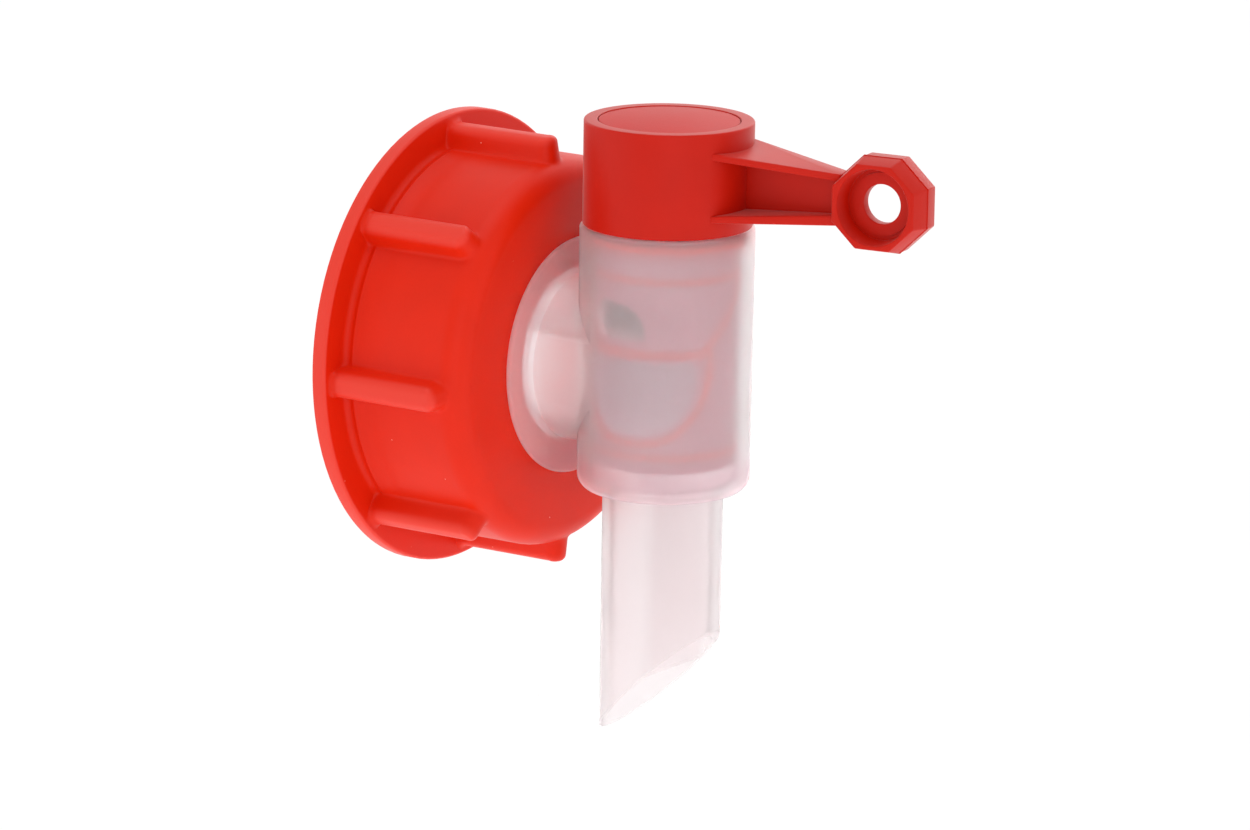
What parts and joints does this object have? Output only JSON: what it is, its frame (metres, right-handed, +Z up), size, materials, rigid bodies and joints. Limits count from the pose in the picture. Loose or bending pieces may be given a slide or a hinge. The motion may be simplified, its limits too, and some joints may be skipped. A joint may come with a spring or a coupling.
{
  "type": "jerrycan tap",
  "caption": "Screw cap tap for a jerrycan: a ribbed cap turns on a translucent tap body, and a lever turns a hollow plug that opens the liquid and air ducts to a slanted spout.",
  "frame": {"origin": "centre of the sealing plane, where the rim of the container's neck meets the gasket, on the screw cap's axis", "axes": "+Y along the screw cap's axis into the container; +Z up along the barrel, away from the spout; -Y to the front, where the lever points when the tap is closed"},
  "size_m": [0.0746, 0.088, 0.102],
  "materials": {
    "cap_red": "satin red, lightly mottled as moulded",
    "gasket_foam": "matt closed cell foam",
    "natural_plastic": "translucent uncoloured plastic, frosted",
    "lever_red": "satin red",
    "disc_red": "satin red"
  },
  "bodies": {
    "cap": {"screw_cap": "cap_red"},
    "tap": {"tap_body": "natural_plastic", "neck_gasket": "gasket_foam"},
    "lever": {"lever_plug": "lever_red", "top_disc": "disc_red"}
  },
  "joints": [
    {"name": "swivel", "type": "hinge", "parent": "cap", "child": "tap", "pos_m": [0, 0, 0], "axis": [0, 1, 0], "continuous": true},
    {"name": "lever_turn", "type": "hinge", "parent": "tap", "child": "lever", "pos_m": [0, -0.0224, 0], "axis": [0, 0, 1], "range_deg": [-90, 0]}
  ]
}
